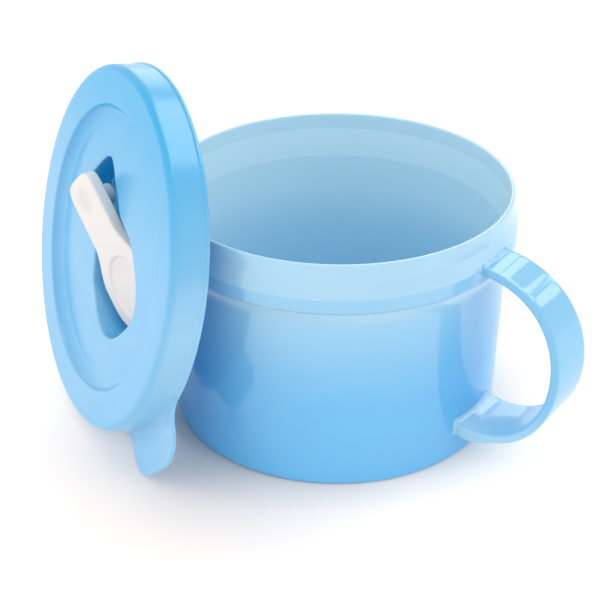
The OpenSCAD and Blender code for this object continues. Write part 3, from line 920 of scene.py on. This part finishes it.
def lever_shell(vent):
    """Rings of the lever's paddle about its pivot: top with dishes, soft edge, sides, underside.

    The underside is hollow up to a straight end, past which the thumb end tapers to its tip.
    """
    t = circle(LID_COUNT)
    top, soft, foot = vent.pivot_drop, vent.edge_round, 0.0004
    taper_start, hollow_end, tiny = 0.0064, 0.006, 1e-6
    slope = (vent.thickness - vent.tip) / (vent.front - taper_start)

    def under(x):
        """Height of the sides' lower edge."""
        return top - vent.thickness + slope * np.maximum(x - taper_start, 0)

    rings = []
    face = paddle(vent, -soft, t)
    for k in np.linspace(0.01, 1, 120):
        flat = k * face
        rings.append(lifted(flat, top - scoop(flat, vent)
                            - dish(flat, -vent.peg_back, vent.dimple_radius, vent.dimple_depth)))
    rings += [lifted(paddle(vent, -soft * (1 - sin(a)), t), top - soft * (1 - cos(a)))
              for a in quarter_turn(TURNS + 2)]
    side = paddle(vent, 0.0, t)
    low = under(side[:, 0])
    rings += [lifted(side, blend(top - soft, low + foot, k)) for k in np.linspace(0, 1, 5)[1:]]
    rings += [lifted(paddle(vent, -foot * (1 - cos(a)), t), low + foot * (1 - sin(a)))
              for a in quarter_turn()]
    rim, hollow = paddle(vent, -foot, t), paddle(vent, -vent.skin, t)
    reach = hollow_end / np.maximum(np.cos(t), tiny)
    kept = np.minimum(1, reach / np.linalg.norm(hollow, axis=1))
    hollow = hollow * np.where(np.cos(t) > 0, kept, 1)[:, None]
    for k in np.linspace(0, 1, 6)[1:]:
        flat = blend(rim, hollow, k)
        rings.append(lifted(flat, under(flat[:, 0])))
    ceiling = top - vent.skin
    rings += [lifted(hollow, blend(under(hollow[:, 0]), ceiling, k))
              for k in np.linspace(0, 1, 5)[1:]]
    rings += [lifted(k * hollow, ceiling) for k in np.linspace(1, 0.02, 12)[1:]]
    return np.stack(rings)


def bars(reach, t, along):
    """Rings (reach cos t, y, reach sin t) at places y along the hinge's axis."""
    return np.stack([np.stack([reach * np.cos(t), y + 0 * t, reach * np.sin(t)], 1) for y in along])


def lug_rings(vent, y):
    """Rings of a hinge lug under the lever: a round foot on a straight neck, drawn out along Y."""
    t, wall = circle(48), 0.0008
    radius, height = vent.pin_radius + wall, vent.pivot_drop - vent.skin / 2
    reach = np.where(np.sin(t) <= 0, radius, necked_reach(t, radius, height))
    return bars(reach, t, y + LUG_HALF * np.linspace(-1, 1, 4))


class MUG_OT_lever(bpy.types.Operator):
    """Build the white vent lever: paddle with scoop and dimple, peg, hinge lugs and pin"""

    bl_idname = "mug.lever"
    bl_label = "Vent lever"

    def execute(self, context):
        vent, finish = context.scene.mug_vent, context.scene.mug_finish
        peg_out, peg_round, sunk_share, peg_step = 0.0004, 0.0005, 0.75, 0.001
        peg_end = vent.floor_z - vent.tub_floor - peg_out - vent.pivot_z
        peg = lathe(rounded([
            (POLE, peg_end, 0), (vent.peg_radius, peg_end, peg_round),
            (vent.peg_radius, vent.pivot_drop - sunk_share * vent.skin, 0)], peg_step), 96)
        lug_y = BEARING_HALF + LUG_PLAY + LUG_HALF
        pin = bars(vent.pin_radius, circle(48), np.linspace(-lug_y, lug_y, 6))
        shell = lever_shell(vent)
        parts = [shell, peg - (vent.peg_back, 0, 0), pin, lug_rings(vent, lug_y),
                 lug_rings(vent, -lug_y)]
        # Painted shade in the dimple: the lever's white darkens with the dimple's depth, on its
        # upper face
        dimple_shade_share, top_share = 0.5, 0.7
        sunk = dish(shell, -vent.peg_back, vent.dimple_radius, vent.dimple_depth)
        on_top = shell[..., 2] > top_share * vent.pivot_drop
        painted_shading = -ease(sunk / (dimple_shade_share * vent.dimple_depth)) * on_top
        turn, origin = lid_place()
        tilt = turn @ turn_y(vent.opening)
        pivot = origin + turn @ (vent.pivot_x, 0, vent.pivot_z)
        colours = finish.dimple_shade_white, finish.white_deep, finish.white, finish.white
        plastic = moulded("lever_white", colours, (0.04, 0.1), finish.lever_roughness,
                          (1.0, 1.5, 0.5), glow=0.1)
        piece("vent_lever_paddle", [skin(part @ tilt.T + pivot) for part in parts], plastic,
              "vent_lever", ["vent_lever"], painted_shading)
        return {"FINISHED"}


# Stage

def lamp(name, place, target, size, power):
    """Rectangular area light that looks at a point."""
    data = bpy.data.lights.new(name, "AREA")
    data.shape, data.size, data.size_y, data.energy = "RECTANGLE", *size, power
    made = bpy.data.objects.new(name, data)
    bpy.context.scene.collection.objects.link(made)
    x, y, z = np.subtract(target, place)
    made.location = place
    made.rotation_euler = (pi / 2 + atan2(z, hypot(x, y)), 0, atan2(y, x) - pi / 2)
    return made


def seen_rays(tree):
    """Socket that is 1 on rays that show the surroundings: camera, glossy and transmission rays."""
    rays = add(tree, "ShaderNodeLightPath").outputs
    return combined(tree, "MAXIMUM", [
        rays[name] for name in ("Is Camera Ray", "Is Glossy Ray", "Is Transmission Ray")])


def set_camera(scene, stage):
    """Camera at the fitted place, turned by its own pan and tilt."""
    camera = bpy.data.objects.new("camera", bpy.data.cameras.new("camera"))
    scene.collection.objects.link(camera)
    flat = stage.distance * cos(stage.elevation)
    camera.location = (flat * sin(stage.azimuth), -flat * cos(stage.azimuth),
                       stage.distance * sin(stage.elevation))
    camera.rotation_euler = (pi / 2 - stage.tilt, 0, stage.azimuth + stage.pan)
    camera.data.sensor_width, camera.data.lens = 36.0, stage.lens
    camera.data.clip_start = 0.01
    scene.camera = camera


def set_world(scene, stage):
    """Pale even surroundings, which are plain white where they are seen or mirrored."""
    world = bpy.data.worlds.new("studio")
    scene.world = world
    world.use_nodes = True
    tree = world.node_tree
    sky = tree.nodes["Background"]
    sky.inputs["Color"].default_value = (0.97, 0.985, 1.0, 1.0)
    sky.inputs["Strength"].default_value = stage.sky
    white = add(tree, "ShaderNodeBackground", Color=(1.0, 1.0, 1.0, 1.0), Strength=1.0)
    mix = add(tree, "ShaderNodeMixShader", [
        (0, seen_rays(tree)), (1, sky.outputs["Background"]), (2, white.outputs["Background"])])
    tree.links.new(mix.outputs["Shader"], tree.nodes["World Output"].inputs["Surface"])


def distance_rise(tree, place, centre, span, levels):
    """Socket that rises between two levels over a span of distances from a point of the floor."""
    away = add(tree, "ShaderNodeVectorMath", [(0, place)])
    away.operation = "DISTANCE"
    away.inputs[1].default_value = centre
    rise = add(tree, "ShaderNodeMapRange", [("Value", away.outputs["Value"])], From_Min=span[0],
               From_Max=span[1], To_Min=levels[0], To_Max=levels[1])
    return rise.outputs["Result"]


def floor_paper():
    """White paper with faint fibres, warmer where it is seen directly, and lifted towards white.

    Lift = rise with the distance from the shade between lid and bowl, times the square root of a
    second rise that starts at the bowl's foot, on rays that show the surroundings.
    """
    paper, tree, shader = material("floor_paper")
    place = add(tree, "ShaderNodeTexCoord").outputs["Object"]
    fibre = add(tree, "ShaderNodeTexNoise", [("Vector", place)], Scale=40.0, Detail=2.0)
    ramp = add(tree, "ShaderNodeValToRGB", [("Fac", fibre.outputs["Fac"])])
    for stop, grey in zip(ramp.color_ramp.elements, (0.92, 0.935)):
        stop.color = (grey, grey, grey, 1.0)
    direct = add(tree, "ShaderNodeLightPath").outputs["Is Camera Ray"]
    tint = add(tree, "ShaderNodeMixRGB", [(0, direct), (1, ramp.outputs["Color"])])
    tint.blend_type = "MULTIPLY"
    tint.inputs[2].default_value = (1.0, 0.9, 0.845, 1.0)
    tree.links.new(tint.outputs["Color"], shader.inputs["Base Color"])
    shade_centre, shade_reach, lifts = (-0.012, -0.065, 0.0), 0.07, (0.06, 0.36)
    foot_centre, foot_near, foot_far = (-0.006, 0.0, 0.0), 0.0562, 0.077
    shade = distance_rise(tree, place, shade_centre, (0.0, shade_reach), lifts)
    contact = distance_rise(tree, place, foot_centre, (foot_near, foot_far), (0.0, 1.0))
    root = add(tree, "ShaderNodeMath", [(0, contact)])
    root.operation = "SQRT"
    lift = combined(tree, "MULTIPLY", [shade, root.outputs["Value"], seen_rays(tree)])
    tree.links.new(lift, shader.inputs["Emission Strength"])
    shader.inputs["Emission Color"].default_value = (1.0, 0.97, 0.94, 1.0)
    shader.inputs["Roughness"].default_value = 0.9
    shader.inputs["Specular IOR Level"].default_value = 0.1
    return paper


def set_lamps(stage):
    """Three soft lights that shade the mug, and softboxes and panes that it only mirrors."""

    def beside(right, back, up):
        """Point placed from the mug as the camera sees it."""
        a = stage.azimuth
        return (right * cos(a) - back * sin(a), right * sin(a) + back * cos(a), up)

    for name, place, size, power in (
            ("key_light", (-1.1, -0.3, 0.6), (0.8, 0.8), stage.key),
            ("fill_light", (0.95, -0.35, 0.5), (0.8, 0.8), stage.fill),
            ("rim_light", (0.5, 0.8, 0.8), (0.45, 0.45), stage.rim)):
        lamp(name, beside(*place), MIDDLE, size, power).visible_glossy = False
    back_share = 0.14
    for name, place, size, power in (
            ("sheen_light", (0.27, 0.3, 1.05), (0.9, 1.1), stage.sheen),
            ("back_sheen_light", (0.03, 0.95, 0.42), (0.5, 0.5), back_share * stage.sheen)):
        lamp(name, beside(*place), MIDDLE, size, power).visible_diffuse = False
    grip, window, pane_size = np.array((0.07, 0.0, 0.07)), (0.36, 0.8, 0.0), (0.11, 0.14)
    panes = ((-0.09, 0.42), (0.07, 0.42), (-0.09, 0.62), (0.07, 0.62), (-0.57, 0.56), (-0.44, 0.6))
    for i, (side, up) in enumerate(panes):
        place = grip + window + (side, 0.0, up)
        lamp(f"window_pane_{i}", place, grip, pane_size, stage.window).visible_diffuse = False


class MUG_OT_stage(bpy.types.Operator):
    """Set up the camera, the white paper floor and the soft light"""

    bl_idname = "mug.stage"
    bl_label = "Stage"

    def execute(self, context):
        scene, stage = context.scene, context.scene.mug_stage
        scene.view_settings.view_transform = "Standard"
        set_camera(scene, stage)
        set_world(scene, stage)
        half = 2.0
        mesh = bpy.data.meshes.new("floor")
        mesh.from_pydata([(-half, -half, 0), (half, -half, 0), (half, half, 0), (-half, half, 0)],
                         [], [(0, 1, 2, 3)])
        floor = bpy.data.objects.new("floor", mesh)
        scene.collection.objects.link(floor)
        mesh.materials.append(floor_paper())
        set_lamps(stage)
        return {"FINISHED"}


class MUG_PT_panel(bpy.types.Panel):
    """Sizes, colours and builders of the soup mug"""

    bl_label = "Soup mug"
    bl_idname = "MUG_PT_panel"
    bl_space_type = "VIEW_3D"
    bl_region_type = "UI"
    bl_category = "Soup mug"

    def draw(self, context):
        for operator in OPERATORS:
            self.layout.operator(operator.bl_idname)
        for key, group in GROUPS.items():
            box = self.layout.box()
            box.label(text=group.__doc__)
            for name in group.__annotations__:
                box.prop(getattr(context.scene, key), name)


GROUPS = {
    "mug_bowl": BowlShape, "mug_handle": HandleShape, "mug_lid": LidShape, "mug_vent": VentShape,
    "mug_finish": MugFinish, "mug_stage": MugStage,
}
OPERATORS = (MUG_OT_bowl, MUG_OT_handle, MUG_OT_lid, MUG_OT_lever, MUG_OT_stage)
CLASSES = (*GROUPS.values(), *OPERATORS, MUG_PT_panel)


def register():
    """Register the classes and hang the sizes on the scene."""
    for cls in CLASSES:
        bpy.utils.register_class(cls)
    for key, group in GROUPS.items():
        setattr(bpy.types.Scene, key, PointerProperty(type=group))


def unregister():
    """Undo register."""
    for key in GROUPS:
        delattr(bpy.types.Scene, key)
    for cls in reversed(CLASSES):
        bpy.utils.unregister_class(cls)


def main():
    """Build every piece and the stage."""
    register()
    bpy.ops.mug.bowl()
    bpy.ops.mug.handle()
    bpy.ops.mug.lid()
    bpy.ops.mug.lever()
    bpy.ops.mug.stage()


if __name__ == "__main__":
    main()
